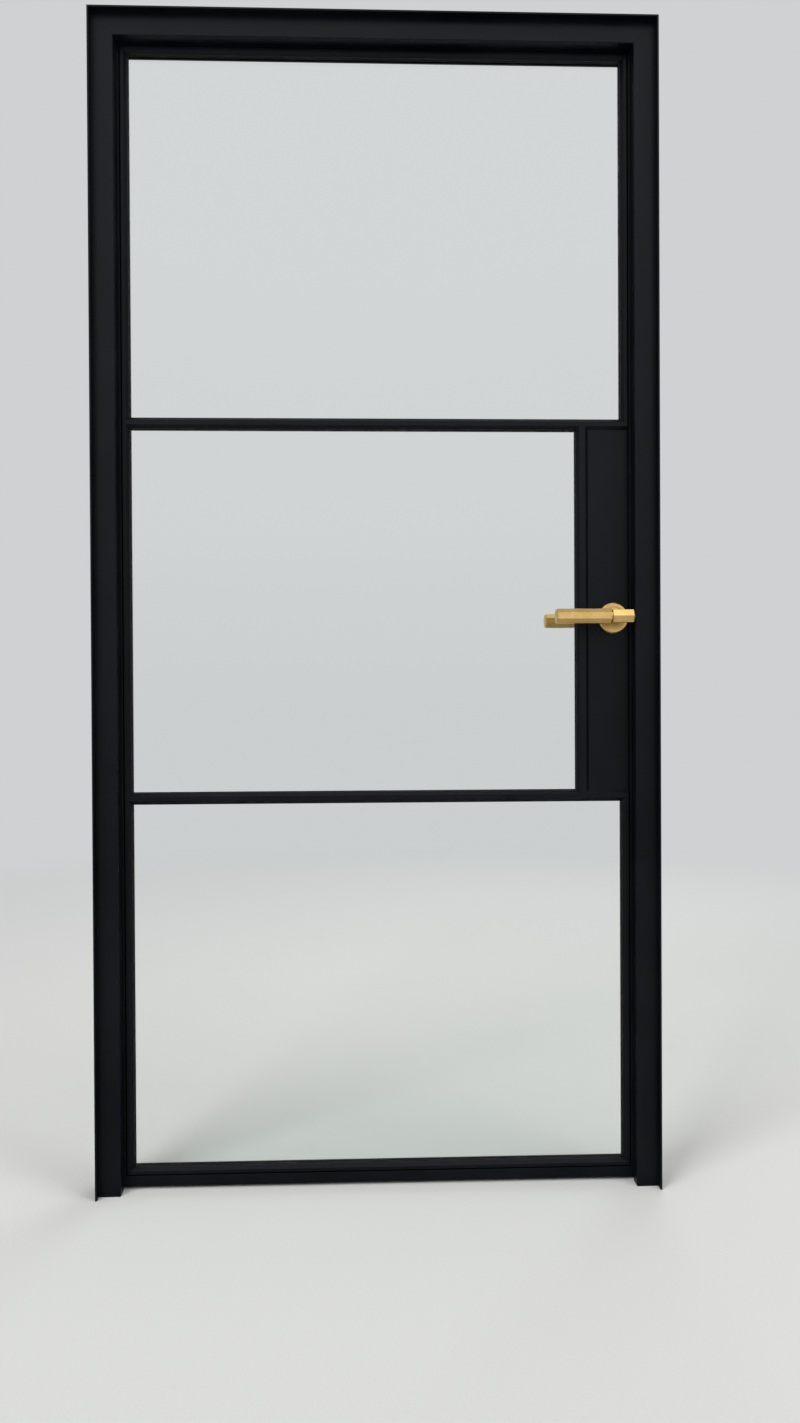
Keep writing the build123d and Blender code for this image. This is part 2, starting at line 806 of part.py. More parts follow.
neck_foot = case_half_thickness - panel_face
neck_end = lever_stand - stub_across / 2
grub_y = panel_face + grub_height
grub_foot = spindle_height - neck_radius
grub_top = spindle_height - spindle_size / 2
with BuildPart() as lever_neck_front:
    with BuildSketch(rose_plane):
        Polygon(
            (0, neck_foot),
            (neck_radius, neck_foot),
            (neck_radius, neck_collar),
            (neck_waist_radius, neck_collar + neck_flare),
            (neck_waist_radius, neck_end),
            (0, neck_end),
            align=None,
        )
    revolve(axis=spindle_axis)
    extrude(
        lever_section(stub_start_x, 6, stub_across),
        amount=stub_end_x - stub_start_x,
        mode=Mode.SUBTRACT,
    )
    with BuildSketch(depth_plane(-spindle_reach)):
        with Locations((lever_x, spindle_height)):
            Rectangle(spindle_size, spindle_size)
    extrude(amount=-spindle_reach, mode=Mode.SUBTRACT)
    with BuildSketch(Plane.XY.offset(grub_foot)):
        with Locations((lever_x, -grub_y)):
            Circle(grub_radius)
    extrude(amount=grub_top - grub_foot, mode=Mode.SUBTRACT)
write(lever_neck_front.part, "lever_neck_front")

# One set screw under each neck grips the spindle
with BuildPart() as grub_screws:
    for grub_place in (-grub_y, grub_y):
        with BuildSketch(Plane.XY.offset(grub_foot + grub_sink)):
            with Locations((lever_x, grub_place)):
                Circle(grub_radius)
        extrude(amount=grub_top - grub_foot - grub_sink)
        with BuildSketch(Plane.XY.offset(grub_foot + grub_sink)):
            with Locations((lever_x, grub_place)):
                RegularPolygon(grub_socket / 2, 6, major_radius=False)
        extrude(amount=grub_socket_depth, mode=Mode.SUBTRACT)
write(grub_screws.part, "grub_screws")

rear_pieces = {
    "rose_rear": rose_front,
    "rose_plate_rear": rose_plate_front,
    "lever_bar_rear": lever_bar_front,
    "lever_grip_rear": lever_grip_front,
    "lever_neck_rear": lever_neck_front,
}
for rear_name, front_piece in rear_pieces.items():
    with BuildPart() as rear_piece:
        mirror(front_piece.part, about=Plane.XZ)
    write(rear_piece.part, rear_name)


# Hinges: a lower knuckle on the frame, an upper knuckle on the leaf, a washer and a pin
def knuckle(bottom, side, bore_radius, bore_depth):
    """One knuckle with its wing; side -1 points its wing to the frame, +1 to the leaf."""
    with BuildPart() as body:
        with BuildSketch(Plane.XY.offset(bottom)):
            with Locations((hinge_x, hinge_y)):
                Circle(hinge_radius)
        extrude(amount=hinge_knuckle)
        chamfer(body.edges().filter_by(GeomType.CIRCLE), hinge_edge)
        with BuildSketch(Plane.XY.offset(bottom)):
            with Locations((hinge_x + side * hinge_wing / 2, leaf_face + hinge_wing_thickness / 2)):
                Rectangle(hinge_wing, hinge_wing_thickness)
        extrude(amount=hinge_knuckle)
        free_end = 0 if side < 0 else -1
        fillet(body.edges().filter_by(Axis.Y).group_by(Axis.X)[free_end], hinge_corner)
        with BuildSketch(Plane.XY.offset(bottom)):
            with Locations((hinge_x, hinge_y)):
                Circle(bore_radius)
        extrude(amount=bore_depth, mode=Mode.SUBTRACT)
    return body.part


half_washer = hinge_washer / 2
upper_bore = hinge_knuckle - hinge_cap
with BuildPart() as hinge_frame_leaves:
    for height in hinge_heights:
        add(knuckle(height - half_washer - hinge_knuckle, -1, hinge_pin_radius, hinge_knuckle))
    with Locations(*frame_wing_screws):
        add(hinge_screw, mode=Mode.SUBTRACT)
write(hinge_frame_leaves.part, "hinge_frame_leaves")

with BuildPart() as hinge_leaf_leaves:
    for height in hinge_heights:
        add(knuckle(height + half_washer, 1, hinge_pin_radius + running_clearance, upper_bore))
    with Locations(*leaf_wing_screws):
        add(hinge_screw, mode=Mode.SUBTRACT)
write(hinge_leaf_leaves.part, "hinge_leaf_leaves")

with BuildPart() as hinge_pins:
    for height in hinge_heights:
        with BuildSketch(Plane.XY.offset(height - half_washer - hinge_knuckle)):
            with Locations((hinge_x, hinge_y)):
                Circle(hinge_pin_radius)
        extrude(amount=hinge_knuckle + hinge_washer + upper_bore - hinge_clearance)
write(hinge_pins.part, "hinge_pins")

with BuildPart() as hinge_washers:
    for height in hinge_heights:
        with BuildSketch(Plane.XY.offset(height - half_washer)):
            with Locations((hinge_x, hinge_y)):
                Circle(hinge_radius)
                Circle(hinge_pin_radius, mode=Mode.SUBTRACT)
        extrude(amount=hinge_washer)
write(hinge_washers.part, "hinge_washers")
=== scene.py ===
"""A glazed black steel door in its frame, dressed for a product picture."""

import logging
import math
from collections.abc import Iterator
from dataclasses import dataclass, field
from enum import Enum

import bmesh
import bpy
from mathutils import Euler, Matrix, Vector

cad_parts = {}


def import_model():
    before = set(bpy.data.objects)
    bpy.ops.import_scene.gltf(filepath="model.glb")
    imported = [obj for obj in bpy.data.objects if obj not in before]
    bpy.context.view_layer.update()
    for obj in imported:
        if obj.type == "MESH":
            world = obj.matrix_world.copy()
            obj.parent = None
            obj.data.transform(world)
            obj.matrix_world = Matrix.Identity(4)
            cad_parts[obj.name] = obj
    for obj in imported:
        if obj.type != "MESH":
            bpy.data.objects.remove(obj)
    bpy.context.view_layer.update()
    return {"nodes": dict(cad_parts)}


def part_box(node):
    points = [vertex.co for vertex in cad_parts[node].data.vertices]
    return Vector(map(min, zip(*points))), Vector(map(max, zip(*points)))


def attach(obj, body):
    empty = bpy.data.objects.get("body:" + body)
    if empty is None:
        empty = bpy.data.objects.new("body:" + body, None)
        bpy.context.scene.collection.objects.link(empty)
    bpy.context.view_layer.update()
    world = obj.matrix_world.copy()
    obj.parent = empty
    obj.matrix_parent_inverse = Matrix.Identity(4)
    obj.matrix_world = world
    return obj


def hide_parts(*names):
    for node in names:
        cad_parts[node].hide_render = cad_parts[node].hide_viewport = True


LOG = logging.getLogger("door")
MM = 0.001

# The picture's height in pixels, which the lens is worked out from
PICTURE_HEIGHT = 1423

# How many rays feel for an edge where it is drawn rounded
BEVEL_SAMPLES = 6

# The even tone behind the door
BACKDROP = "CFD1D2"


class Body(Enum):
    """The bodies of the door that move on their own."""

    FRAME = "frame"
    LEAF = "leaf"


class Facing(Enum):
    """Which side of the leaf a piece is on, as a sign along Y."""

    FRONT = -1
    REAR = 1


def linear(hex_colour: str) -> tuple[float, float, float, float]:
    """Turns an sRGB hex colour into a linear one.

    Args:
        hex_colour: Six hex digits, red first.

    Returns:
        Red, green, blue and an alpha of one.
    """
    knee, slope, offset, power = 0.04045, 12.92, 0.055, 2.4
    channels = [int(hex_colour[start : start + 2], 16) / 255 for start in (0, 2, 4)]
    values = [c / slope if c <= knee else ((c + offset) / (1 + offset)) ** power for c in channels]
    return (*values, 1.0)


def per_metre(size_mm: float) -> float:
    """The pattern scale at which one feature is so many millimetres across."""
    return 1.0 / (size_mm * MM)


def add_node(
    tree: bpy.types.NodeTree,
    kind: str,
    settings: dict[str, object] | None = None,
    links: dict[str, bpy.types.NodeSocket] | None = None,
) -> bpy.types.Node:
    """Adds one shader node with its settings and links.

    Args:
        tree: The material's or world's node tree.
        kind: The node's type name.
        settings: Attributes or inputs by name, with their values.
        links: Inputs by name, with the sockets that feed them.

    Returns:
        The new node.
    """
    node = tree.nodes.new(kind)
    for name, value in (settings or {}).items():
        if hasattr(node, name):
            setattr(node, name, value)
        else:
            node.inputs[name].default_value = value
    for name, socket in (links or {}).items():
        tree.links.new(socket, node.inputs[name])
    return node


@dataclass(frozen=True)
class Finish:
    """What every finish shares: its name, its colour and how it lays down patterns.

    The roughness swings about its mean. The relief has a depth and a share of it that shows,
    and the edges that it lies on look rounded to a small radius.
    """

    name: str
    colour: str
    roughness: float
    swing: float = 0.06
    depth_mm: float = 0.03
    strength: float = 0.3
    edge_mm: float = 0.2
    layers: float = 3.0

    def material(self) -> bpy.types.Material:
        """Makes the finish as a material.

        Returns:
            A material whose surface is this finish.
        """
        made = bpy.data.materials.new(self.name)
        made.use_nodes = True
        tree = made.node_tree
        tree.nodes.clear()
        surface = self.shade(tree)
        add_node(tree, "ShaderNodeOutputMaterial", links={"Surface": surface})
        return made

    def shade(self, tree: bpy.types.NodeTree) -> bpy.types.NodeSocket:
        """Builds the shader of one kind of finish.

        Args:
            tree: The material's node tree.

        Returns:
            The shader's output.
        """
        raise NotImplementedError

    def grain(
        self,
        tree: bpy.types.NodeTree,
        size_mm: float,
        stretch: tuple[float, float, float] = (1.0, 1.0, 1.0),
    ) -> bpy.types.NodeSocket:
        """Lays a noise pattern over the piece.

        Args:
            tree: The material's node tree.
            size_mm: How large one grain is.
            stretch: Below one along an axis draws the grains out along it.

        Returns:
            The pattern, from zero to one.
        """
        place = add_node(tree, "ShaderNodeTexCoord")
        drawn_out = add_node(
            tree, "ShaderNodeMapping", {"Scale": stretch}, {"Vector": place.outputs["Object"]}
        )
        noise = add_node(
            tree,
            "ShaderNodeTexNoise",
            {"Scale": per_metre(size_mm), "Detail": self.layers},
            {"Vector": drawn_out.outputs["Vector"]},
        )
        return noise.outputs["Fac"]

    def blend(
        self,
        tree: bpy.types.NodeTree,
        pattern: bpy.types.NodeSocket,
        low: str,
        high: str,
        start: float = 0.35,
        end: float = 0.65,
    ) -> bpy.types.NodeSocket:
        """Blends two colours along a pattern.

        Args:
            tree: The material's node tree.
            pattern: The pattern that is followed.
            low: The hex colour at its start.
            high: The hex colour at its end.
            start: Where on the pattern the blend starts.
            end: Where it ends.

        Returns:
            The blended colour.
        """
        ramp = add_node(tree, "ShaderNodeValToRGB", links={"Fac": pattern})
        first, last = ramp.color_ramp.elements
        first.position, last.position = start, end
        first.color, last.color = linear(low), linear(high)
        return ramp.outputs["Color"]

    def spread(
        self,
        tree: bpy.types.NodeTree,
        pattern: bpy.types.NodeSocket,
        low: float,
        high: float,
        start: float = 0.3,
        end: float = 0.7,
    ) -> bpy.types.NodeSocket:
        """Spreads a pattern over a range of values.

        Args:
            tree: The material's node tree.
            pattern: The pattern that is followed.
            low: The value at its start.
            high: The value at its end.
            start: Where on the pattern the range starts.
            end: Where it ends.

        Returns:
            The value.
        """
        limits = {"From Min": start, "From Max": end, "To Min": low, "To Max": high}
        return add_node(tree, "ShaderNodeMapRange", limits, {"Value": pattern}).outputs["Result"]

    def gloss(self, tree: bpy.types.NodeTree, pattern: bpy.types.NodeSocket) -> bpy.types.NodeSocket:
        """Lets the roughness swing about its mean along a pattern.

        Args:
            tree: The material's node tree.
            pattern: The pattern that is followed.

        Returns:
            The roughness.
        """
        return self.spread(tree, pattern, self.roughness - self.swing, self.roughness + self.swing)

    def relief(self, tree: bpy.types.NodeTree, pattern: bpy.types.NodeSocket) -> bpy.types.NodeSocket:
        """Turns a pattern into relief, and rounds the edges that it lies on.

        Args:
            tree: The material's node tree.
            pattern: The pattern that is pressed in.

        Returns:
            The normal.
        """
        rounded = add_node(
            tree, "ShaderNodeBevel", {"samples": BEVEL_SAMPLES, "Radius": self.edge_mm * MM}
        )
        pressed = add_node(
            tree,
            "ShaderNodeBump",
            {"Strength": self.strength, "Distance": self.depth_mm * MM},
            {"Height": pattern, "Normal": rounded.outputs["Normal"]},
        )
        return pressed.outputs["Normal"]


@dataclass(frozen=True)
class PowderCoat(Finish):
    """Polyester powder, sprayed and stoved: a satin skin with a faint orange peel."""

    wiped: str = "0E1115"
    ior: float = 1.5
    specular: float = 0.11
    peel_mm: float = 1.6
    smudge_mm: float = 140.0
    depth_mm: float = 0.05
    strength: float = 0.35
    edge_mm: float = 0.6

    def shade(self, tree: bpy.types.NodeTree) -> bpy.types.NodeSocket:
        """Satin black whose gloss changes slowly, as where it has been wiped.

        Args:
            tree: The material's node tree.

        Returns:
            The shader's output.
        """
        smudge = self.grain(tree, self.smudge_mm)
        peel = self.grain(tree, self.peel_mm)
        coat = add_node(
            tree,
            "ShaderNodeBsdfPrincipled",
            {"IOR": self.ior, "Specular IOR Level": self.specular},
            {
                "Base Color": self.blend(tree, smudge, self.colour, self.wiped),
                "Roughness": self.gloss(tree, smudge),
                "Normal": self.relief(tree, peel),
            },
        )
        return coat.outputs["BSDF"]


@dataclass(frozen=True)
class FloatGlass(Finish):
    """Float glass, cut and polished: flat and hard, with a breath of green and a few wiped marks."""

    shadow: str = "EEF5F1"
    ior: float = 1.52
    wipe_mm: float = 90.0
    stroke: tuple[float, float, float] = (1.0, 1.0, 0.35)
    marked: tuple[float, float] = (0.55, 0.85)

    def shade(self, tree: bpy.types.NodeTree) -> bpy.types.NodeSocket:
        """Clear glass that lets the light of the lamps through.

        Args:
            tree: The material's node tree.

        Returns:
            The shader's output.
        """
        wipe = self.grain(tree, self.wipe_mm, self.stroke)
        pane = add_node(
            tree,
            "ShaderNodeBsdfPrincipled",
            {"Base Color": linear(self.colour), "IOR": self.ior, "Transmission Weight": 1.0},
            {"Roughness": self.spread(tree, wipe, 0.0, self.roughness, *self.marked)},
        )
        clear = add_node(tree, "ShaderNodeBsdfTransparent", {"Color": linear(self.shadow)})
        ray = add_node(tree, "ShaderNodeLightPath")
        both = add_node(tree, "ShaderNodeMixShader", links={"Fac": ray.outputs["Is Shadow Ray"]})
        tree.links.new(pane.outputs["BSDF"], both.inputs[1])
        tree.links.new(clear.outputs["BSDF"], both.inputs[2])
        return both.outputs["Shader"]


@dataclass(frozen=True)
class SatinBrass(Finish):
    """Drawn or turned brass, brushed and lacquered: a warm sheen with fine lines."""

    rubbed: str = "CBA868"
    brush: tuple[float, float, float] = (0.03, 1.0, 1.0)
    brush_mm: float = 0.45
    lacquer_mm: float = 22.0
    swing: float = 0.07
    strength: float = 0.22
    edge_mm: float = 0.4

    def shade(self, tree: bpy.types.NodeTree) -> bpy.types.NodeSocket:
        """Brushed metal, a little deeper in tone where the lacquer is thicker.

        Args:
            tree: The material's node tree.

        Returns:
            The shader's output.
        """
        lines = self.grain(tree, self.brush_mm, self.brush)
        lacquer = self.grain(tree, self.lacquer_mm)
        metal = add_node(
            tree,
            "ShaderNodeBsdfPrincipled",
            {"Metallic": 1.0},
            {
                "Base Color": self.blend(tree, lacquer, self.rubbed, self.colour),
                "Roughness": self.gloss(tree, lines),
                "Normal": self.relief(tree, lines),
            },
        )
        return metal.outputs["BSDF"]


@dataclass(frozen=True)
class PlatedSteel(Finish):
    """Rolled or turned steel, zinc plated: cool and bright, with a mottled bloom."""

    bloom: str = "8E9296"
    bloom_mm: float = 2.5
    rolled_mm: float = 0.6
    rolled: tuple[float, float, float] = (1.0, 1.0, 0.06)
    swing: float = 0.08
    depth_mm: float = 0.02
    strength: float = 0.25
    edge_mm: float = 0.25

    def shade(self, tree: bpy.types.NodeTree) -> bpy.types.NodeSocket:
        """Bright metal with fine rolling lines under a mottled plating.

        Args:
            tree: The material's node tree.

        Returns:
            The shader's output.
        """
        mottle = self.grain(tree, self.bloom_mm)
        lines = self.grain(tree, self.rolled_mm, self.rolled)
        metal = add_node(
            tree,
            "ShaderNodeBsdfPrincipled",
            {"Metallic": 1.0},
            {
                "Base Color": self.blend(tree, mottle, self.bloom, self.colour),
                "Roughness": self.gloss(tree, mottle),
                "Normal": self.relief(tree, lines),
            },
        )
        return metal.outputs["BSDF"]


@dataclass(frozen=True)
class SoftBlack(Finish):
    """Extruded rubber or foam tape: matt and dusty, with a fine tooth."""

    dust: str = "2A2A2B"
    ior: float = 1.52
    specular: float = 0.3
    dust_mm: float = 30.0
    dusty: tuple[float, float] = (0.4, 0.8)
    tooth_mm: float = 0.8
    swing: float = 0.08
    depth_mm: float = 0.08
    strength: float = 0.4
    edge_mm: float = 0.3

    def shade(self, tree: bpy.types.NodeTree) -> bpy.types.NodeSocket:
        """Matt black with dust lying on its tooth.

        Args:
            tree: The material's node tree.

        Returns:
            The shader's output.
        """
        tooth = self.grain(tree, self.tooth_mm)
        dust = self.grain(tree, self.dust_mm)
        rubber = add_node(
            tree,
            "ShaderNodeBsdfPrincipled",
            {"IOR": self.ior, "Specular IOR Level": self.specular},
            {
                "Base Color": self.blend(tree, dust, self.colour, self.dust, *self.dusty),
                "Roughness": self.gloss(tree, tooth),
                "Normal": self.relief(tree, tooth),
            },
        )
        return rubber.outputs["BSDF"]


@dataclass(frozen=True)
class MouldedNylon(Finish):
    """Injection-moulded nylon: dark and slightly waxy, with the fine grain of its mould."""

    worn: str = "34363A"
    ior: float = 1.53
    grain_mm: float = 0.7

    def shade(self, tree: bpy.types.NodeTree) -> bpy.types.NodeSocket:
        """Dark nylon, paler on the tops of its grain.

        Args:
            tree: The material's node tree.

        Returns:
            The shader's output.
        """
        grain = self.grain(tree, self.grain_mm)
        nylon = add_node(
            tree,
            "ShaderNodeBsdfPrincipled",
            {"IOR": self.ior},
            {
                "Base Color": self.blend(tree, grain, self.colour, self.worn),
                "Roughness": self.gloss(tree, grain),
                "Normal": self.relief(tree, grain),
            },
        )
        return nylon.outputs["BSDF"]


@dataclass(frozen=True)
class StudioPaper(Finish):
    """Seamless background paper: matt near the door, and fading into the even backdrop."""

    fibre: str = "DEDEDC"
    fibre_mm: float = 3.0
    near: float = 1.6
    far: float = 4.5

    def shade(self, tree: bpy.types.NodeTree) -> bpy.types.NodeSocket:
        """Pale matt paper that takes the backdrop's tone far from the door.

        Args:
            tree: The material's node tree.

        Returns:
            The shader's output.
        """
        fibre = self.grain(tree, self.fibre_mm)
        paper = add_node(
            tree,
            "ShaderNodeBsdfDiffuse",
            {"Roughness": self.roughness},
            {"Color": self.blend(tree, fibre, self.colour, self.fibre)},
        )
        place = add_node(tree, "ShaderNodeTexCoord")
        distance = add_node(
            tree, "ShaderNodeVectorMath", {"operation": "LENGTH"}, {"Vector": place.outputs["Object"]}
        )
        away = self.spread(tree, distance.outputs["Value"], 0.0, 1.0, self.near, self.far)
        seen = add_node(tree, "ShaderNodeMath", {"operation": "MULTIPLY"})
        tree.links.new(away, seen.inputs[0])
        tree.links.new(seen_directly(tree), seen.inputs[1])
        backdrop = add_node(tree, "ShaderNodeEmission", {"Color": linear(BACKDROP)})
        both = add_node(tree, "ShaderNodeMixShader", links={"Fac": seen.outputs["Value"]})
        tree.links.new(paper.outputs["BSDF"], both.inputs[1])
        tree.links.new(backdrop.outputs["Emission"], both.inputs[2])
        return both.outputs["Shader"]


def seen_directly(tree: bpy.types.NodeTree) -> bpy.types.NodeSocket:
    """Tells rays that show a thing, straight or in gloss or glass, from those that light it.

    Args:
        tree: The material's or world's node tree.

    Returns:
        One for camera, glossy and transmission rays, and zero for the others.
    """
    ray = add_node(tree, "ShaderNodeLightPath")
    total = ray.outputs["Is Camera Ray"]
    for name in ("Is Glossy Ray", "Is Transmission Ray"):
        step = add_node(tree, "ShaderNodeMath", {"operation": "ADD", "use_clamp": True})
        tree.links.new(total, step.inputs[0])
        tree.links.new(ray.outputs[name], step.inputs[1])
        total = step.outputs["Value"]
    return total


# Stoved powder: the eye sees soft black planes, a calm sheen on the head and crisp dark gaps
POWDER_COAT = PowderCoat("steel, black satin powder coat", "080A0F", 0.36)

# Polished float glass: the eye looks straight through, with a faint veil of reflected light
FLOAT_GLASS = FloatGlass("clear float glass, polished", "FAFCFB", 0.03)

# Brass brushed lengthwise: each facet of the bar and grip has its own warm, soft tone. Real
# brush lines are a tenth of a millimetre apart and are drawn coarser here, so that they show
BRASS_BRUSHED = SatinBrass("brass, brushed along the bar", "DAB775", 0.33)

# Brass turned on a lathe: the lines run round the neck and the rose's rim and soften their gloss.
# They too are drawn coarser than they are
BRASS_TURNED = SatinBrass("brass, turned and satined", "D6B274", 0.33, brush=(0.05, 1.0, 0.05))

# Zinc on steel: small cool glints on screws, pins and lock parts. The rolling lines are drawn
# coarser than they are, so that they show
PLATED_STEEL = PlatedSteel("steel, zinc plated", "B9BDC1", 0.34)

# Extruded rubber: a line darker and duller than the steel beside it. Its tooth is drawn coarser
# than it is, as is that of the tape and the grain of the nylon
SEAL_RUBBER = SoftBlack("rubber, extruded", "0D0D0E", 0.72)

# Foam tape: the dullest black, seen only on the edges of the panes
GLAZING_TAPE = SoftBlack("foam tape, cut", "101011", 0.86, tooth_mm=0.5)

# Moulded nylon: a waxy dark grey, which sets washers and blocks off from the steel
NYLON = MouldedNylon("nylon, moulded", "26282B", 0.5)

# Matt paper: a quiet pale ground that takes the door's shadow. Its fibres are drawn coarser
# than they are, so that they show
PAPER = StudioPaper("background paper, matt", "E2E2E0", 0.6)


@dataclass
class Wardrobe:
    """Every finish as a material, each made once."""

    made: dict[str, bpy.types.Material] = field(default_factory=dict)

    def get(self, finish: Finish) -> bpy.types.Material:
        """Finds the material of a finish, and makes it at its first use.

        Args:
            finish: The finish.

        Returns:
            Its material.
        """
        if finish.name not in self.made:
            self.made[finish.name] = finish.material()
        return self.made[finish.name]

    def dress(self, node: bpy.types.Object, finish: Finish) -> None:
        """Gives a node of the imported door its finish.

        Args:
            node: The node.
            finish: What it is made of.
        """
        for slot in node.material_slots:
            slot.material = self.get(finish)
        LOG.info("%s: %s", node.name, finish.name)


def make_object(name: str, shape: bmesh.types.BMesh, material: bpy.types.Material) -> bpy.types.Object:
    """Turns a finished shape into an object of the scene.

    Args:
        name: The object's name.
        shape: Its mesh, already in place; it is freed here.
        material: Its finish.

    Returns:
        The new object.
    """
    bmesh.ops.recalc_face_normals(shape, faces=shape.faces)
    mesh = bpy.data.meshes.new(name)
    shape.to_mesh(mesh)
    shape.free()
    mesh.materials.append(material)
    made = bpy.data.objects.new(name, mesh)
    bpy.context.scene.collection.objects.link(made)
    LOG.info("%s: %d faces", name, len(mesh.polygons))
    return made


@dataclass
class GlazingGaskets:
    """The thin rubber lips in the corner between each pane and what holds it."""

    wardrobe: Wardrobe
    lip: float = 1.6 * MM
    crown: float = 0.8
    sides: int = 4
    lights: tuple[str, ...] = ("top", "middle", "bottom")

    def build(self) -> None:
        """Makes a front lip and a rear lip round every pane."""
        for light in self.lights:
            for facing in Facing:
                self.add_ring(light, facing)

    def cover(self) -> float:
        """Works out how far a pane reaches behind its surround, the same on every side.

        Returns:
            The distance, in metres.
        """
        pane_low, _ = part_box("glass_top")
        _, bar_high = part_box("bar_upper")
        return bar_high.z - pane_low.z

    def add_ring(self, light: str, facing: Facing) -> None:
        """Makes one lip as a ring of four mitred runs.

        The section is spun into a square of four corners, and each corner then goes to its place.

        Args:
            light: The pane that it goes round.
            facing: The side of the pane that it lies on.
        """
        low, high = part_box(f"glass_{light}")
        middle = (low + high) / 2
        reach_x = (high.x - low.x) / 2 - self.cover()
        reach_z = (high.z - low.z) / 2 - self.cover()
        pane_y = high.y if facing is Facing.REAR else low.y
        shape = bmesh.new()
        section = ((0.0, 0.0), (0.0, self.lip), (self.lip / 2, self.lip * self.crown), (self.lip, 0.0))
        points = [shape.verts.new((1.0 + inward, out, 1.0)) for inward, out in section]
        edges = [shape.edges.new((point, points[i - 1])) for i, point in enumerate(points)]
        bmesh.ops.spin(
            shape,
            geom=points + edges,
            cent=(0, 0, 0),
            axis=(0, 1, 0),
            angle=math.tau,
            steps=self.sides,
            use_merge=True,
        )
        for vert in shape.verts:
            inward = max(abs(vert.co.x), abs(vert.co.z)) - 1.0
            vert.co = Vector(
                (
                    middle.x + math.copysign(reach_x - inward, vert.co.x),
                    pane_y + facing.value * vert.co.y,
                    middle.z + math.copysign(reach_z - inward, vert.co.z),
                )
            )
        name = f"gasket_{light}_{facing.name.lower()}"
        piece = make_object(name, shape, self.wardrobe.get(SEAL_RUBBER))
        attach(piece, Body.LEAF.value)


@dataclass(frozen=True)
class ScrewGroup:
    """Screws that stand together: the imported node, where their heads face, and their body."""

    node: str
    facing: tuple[float, float, float]
    body: Body


@dataclass
class SocketScrews:
    """Countersunk screws with a six-lobed socket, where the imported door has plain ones."""

    wardrobe: Wardrobe
    segments: int = 24
    weld: float = 0.01 * MM
    neck_share: float = 0.5
    socket_share: float = 0.45
    lobe_share: float = 0.14
    lobes: int = 6
    socket_depth: float = 1.6 * MM
    socket_taper: float = 0.9
    groups: tuple[ScrewGroup, ...] = (
        ScrewGroup("hinge_frame_screws", (0.0, 1.0, 0.0), Body.FRAME),
        ScrewGroup("hinge_leaf_screws", (0.0, 1.0, 0.0), Body.LEAF),
        ScrewGroup("faceplate_screws", (1.0, 0.0, 0.0), Body.LEAF),
        ScrewGroup("strike_screws", (-1.0, 0.0, 0.0), Body.FRAME),
    )

    def build(self) -> None:
        """Replaces every group of plain screws."""
        for group in self.groups:
            facing = Vector(group.facing)
            shape = bmesh.new()
            for low, high in self.plain_screws(group.node):
                self.add_screw(shape, low, high, facing)
            piece = make_object(f"{group.node}_socketed", shape, self.wardrobe.get(PLATED_STEEL))
            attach(piece, group.body.value)
            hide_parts(group.node)

    def plain_screws(self, node: str) -> Iterator[tuple[Vector, Vector]]:
        """Finds each plain screw of a node.

        Args:
            node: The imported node.

        Yields:
            The lowest and highest corner of one screw.
        """
        copy = bmesh.new()
        copy.from_mesh(bpy.data.objects[node].data)
        bmesh.ops.remove_doubles(copy, verts=copy.verts, dist=self.weld)
        waiting = set(copy.verts)
        while waiting:
            island = [waiting.pop()]
            for member in island:
                for edge in member.link_edges:
                    other = edge.other_vert(member)
                    if other in waiting:
                        waiting.remove(other)
                        island.append(other)
            yield (
                Vector([min(vert.co[axis] for vert in island) for axis in range(3)]),
                Vector([max(vert.co[axis] for vert in island) for axis in range(3)]),
            )
        copy.free()

    def add_screw(self, shape: bmesh.types.BMesh, low: Vector, high: Vector, facing: Vector) -> None:
        """Adds one screw: its countersunk head, shank and socket.

        Args:
            shape: The mesh that it is added to.
            low: The plain screw's lowest corner.
            high: Its highest corner.
            facing: Which way its head faces.
        """
        size = high - low
        length = abs(size.dot(facing))
        radius = size.z / 2
        head = (low + high) / 2 + facing * length / 2
        rim = bmesh.ops.create_circle(shape, segments=self.segments, radius=radius)["verts"]
        made = list(rim)
        edges = list({edge for vert in rim for edge in vert.link_edges})
        neck = self.step(shape, edges, made, self.neck_share, -radius * (1.0 - self.neck_share))
        tip = self.step(shape, neck, made, 1.0, -length)
        bmesh.ops.holes_fill(shape, edges=tip)
        mouth = self.step(shape, edges, made, self.socket_share, 0.0)
        for vert in {vert for edge in mouth for vert in edge.verts}:
            swell = 1.0 + self.lobe_share * math.cos(self.lobes * math.atan2(vert.co.y, vert.co.x))
            vert.co.xy *= swell
        floor = self.step(shape, mouth, made, self.socket_taper, -self.socket_depth)
        bmesh.ops.holes_fill(shape, edges=floor)
        turn = Vector((0, 0, 1)).rotation_difference(facing).to_matrix().to_4x4()
        bmesh.ops.transform(shape, matrix=Matrix.Translation(head) @ turn, verts=made)

    def step(
        self,
        shape: bmesh.types.BMesh,
        edges: list[bmesh.types.BMEdge],
        made: list[bmesh.types.BMVert],
        scale: float,
        height: float,
    ) -> list[bmesh.types.BMEdge]:
        """Extrudes a ring of edges to a new width and height.

        Args:
            shape: The mesh.
            edges: The ring.
            made: The screw's points so far; the new ones are added.
            scale: The new ring's width as a share of the old one's.
            height: The new ring's height.

        Returns:
            The new ring.
        """
        result = bmesh.ops.extrude_edge_only(shape, edges=edges)["geom"]
        points = [item for item in result if isinstance(item, bmesh.types.BMVert)]
        for vert in points:
            vert.co = Vector((vert.co.x * scale, vert.co.y * scale, height))
        made.extend(points)
        return [item for item in result if isinstance(item, bmesh.types.BMEdge)]


